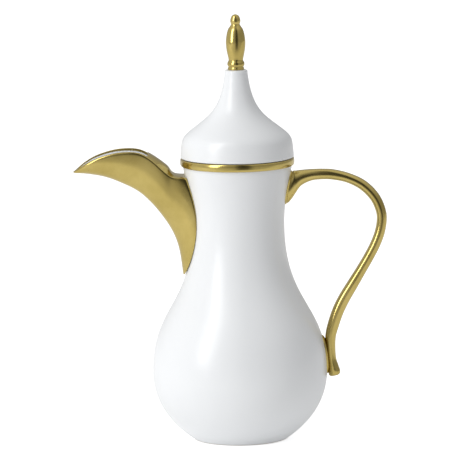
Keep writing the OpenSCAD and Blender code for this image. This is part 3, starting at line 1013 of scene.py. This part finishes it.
studio = {
    "lookAt": (-5.75 * mm, 0, 148 * mm),
    "distance": 3.764,
    "elevation": 8.4,
    "roll": -0.8,
    "field": 0.3230,           # width seen at the pot
    "sensor": 36.0,
    "floorSize": 14,
    "floor": (0.80, 0.80, 0.80),
    "floorGlow": 0.66,         # keeps the floor pale behind the pot
    "tableGlow": 0.22,         # light that comes back up from under the pot
    "tableFront": (-0.85, -0.40),   # the room is dim in front of this
    "darkFront": (0.13, 0.13, 0.13),
    "tableSides": 0.6,         # how pale the floor stays beside the dark gap
    "keyAim": (0, 0, 0.14),
    "keyTurn": -48,            # degrees round from the camera
    "keyHeight": 30,
    "keyDistance": 1.6,
    "keySize": (0.55, 1.7),
    "keyPower": 14.5,
    "roomSides": 0.50,         # brightness of the room
    "gapTurn": 13,             # the dark gap in the room, degrees round from the camera
    "gapHalf": (0.15, 0.36),   # sines of the gap's half width, where it is darkest and ends
    "gapShade": 0.14,          # share of the room's light left in it
    "roomTop": 0.50,           # added overhead
    "topReach": (0.35, 0.9),
    "roomLeft": 0.40,          # added on the left
    "leftReach": (0.25, 0.85),
}


def makeCamera():
    data = bpy.data.cameras.new("studioCamera")
    camera = bpy.data.objects.new("studioCamera", data)
    scene.collection.objects.link(camera)
    target = Vector(studio["lookAt"])
    e = math.radians(studio["elevation"])
    camera.location = target + studio["distance"] * Vector((0, -math.cos(e), math.sin(e)))
    way = (target - camera.location).to_track_quat("-Z", "Y")
    roll = Matrix.Rotation(math.radians(studio["roll"]), 3, "Z")
    camera.rotation_euler = (way.to_matrix() @ roll).to_euler()
    data.sensor_width = studio["sensor"]
    data.lens = studio["sensor"] * studio["distance"] / studio["field"]
    data.clip_end = 50
    scene.camera = camera


def makeKeyLight():
    data = bpy.data.lights.new("keySoftbox", "AREA")
    data.shape = "RECTANGLE"
    data.size, data.size_y = studio["keySize"]
    data.energy = studio["keyPower"]
    light = bpy.data.objects.new("keySoftbox", data)
    scene.collection.objects.link(light)
    a, h = math.radians(studio["keyTurn"] - 90), math.radians(studio["keyHeight"])
    target = Vector(studio["keyAim"])
    light.location = target + studio["keyDistance"] * Vector(
        (math.cos(a) * math.cos(h), math.sin(a) * math.cos(h), math.sin(h)))
    light.rotation_euler = (target - light.location).to_track_quat("-Z", "Y").to_euler()


def besideGap(bench, x, y, dark, pale):
    # goes from dark to pale on both sides of the gap in front of the pot
    turn = math.radians(studio["gapTurn"])
    span = (x * x + y * y) ** 0.5
    aside = abs((x * math.cos(turn) + y * math.sin(turn)) / span)
    around = aside.maths("MAXIMUM", y / span)
    return bench.ranged(around, *studio["gapHalf"], dark, pale)


def makeFloor():
    bpy.ops.mesh.primitive_plane_add(size=1)
    floor = bpy.context.object
    floor.name = "studioFloor"
    floor.data.transform(Matrix.Scale(studio["floorSize"], 4))
    material = bpy.data.materials.new("paleFloor")
    material.use_nodes = True
    tree = material.node_tree
    tree.nodes.clear()
    bench = Bench(tree)
    seen = bench.add("ShaderNodeLightPath").outputs["Is Camera Ray"]
    place = bench.add("ShaderNodeTexCoord").outputs["Object"]
    parts = bench.add("ShaderNodeSeparateXYZ", None, place).outputs
    across, away = Wire(bench, parts[0]), Wire(bench, parts[1])
    near = bench.ranged(away, *studio["tableFront"], 0.0, 1.0)
    near = near.maths("MAXIMUM", besideGap(bench, across, away, 0.0, studio["tableSides"]))
    paper = bench.out("ShaderNodeBsdfDiffuse", None, rgba(studio["floor"]))
    glow = bench.out("ShaderNodeEmission", None, (1, 1, 1, 1), studio["floorGlow"])
    lit = bench.out("ShaderNodeAddShader", None, paper, glow)
    table = bench.out("ShaderNodeBsdfDiffuse", None,
                      blendColours(bench, near, rgba(studio["darkFront"]), rgba(studio["floor"])))
    shine = bench.out("ShaderNodeEmission", None, (1, 1, 1, 1), near * studio["tableGlow"])
    bounced = bench.out("ShaderNodeAddShader", None, table, shine)
    mixed = bench.out("ShaderNodeMixShader", None, seen, bounced, lit)
    bench.add("ShaderNodeOutputMaterial", None, mixed)
    floor.data.materials.append(material)


def makeRoom():
    world = bpy.data.worlds.new("studioRoom")
    scene.world = world
    world.use_nodes = True
    tree = world.node_tree
    tree.nodes.clear()
    bench = Bench(tree)
    way = bench.add("ShaderNodeTexCoord").outputs["Generated"]
    parts = bench.add("ShaderNodeSeparateXYZ", None, way).outputs
    across, behind = Wire(bench, parts[0]), Wire(bench, parts[1])
    dim = besideGap(bench, across, behind, studio["gapShade"], 1.0)
    lift = bench.ranged(parts[2], *studio["topReach"], 0.0, studio["roomTop"])
    side = bench.ranged(across * -1.0, *studio["leftReach"], 0.0, studio["roomLeft"])
    room = bench.add("ShaderNodeBackground")
    bench.feed(room.inputs["Strength"], (studio["roomSides"] + side + lift) * dim)
    end = bench.add("ShaderNodeOutputWorld")
    tree.links.new(room.outputs[0], end.inputs[0])
    scene.view_settings.view_transform = "Standard"


print("making the pot")
makePot()
makeRimBead()
print("making the lid")
makeLid()
makeLidRing()
makeFinial()
print("making the handle")
makeHandle()
makePad("handleUpperPad", "handle_upper_pad")
makePad("handleLowerPad", "handle_lower_pad")
print("making the spout")
makeSpout()
print("setting the studio")
makeCamera()
makeFloor()
makeKeyLight()
makeRoom()
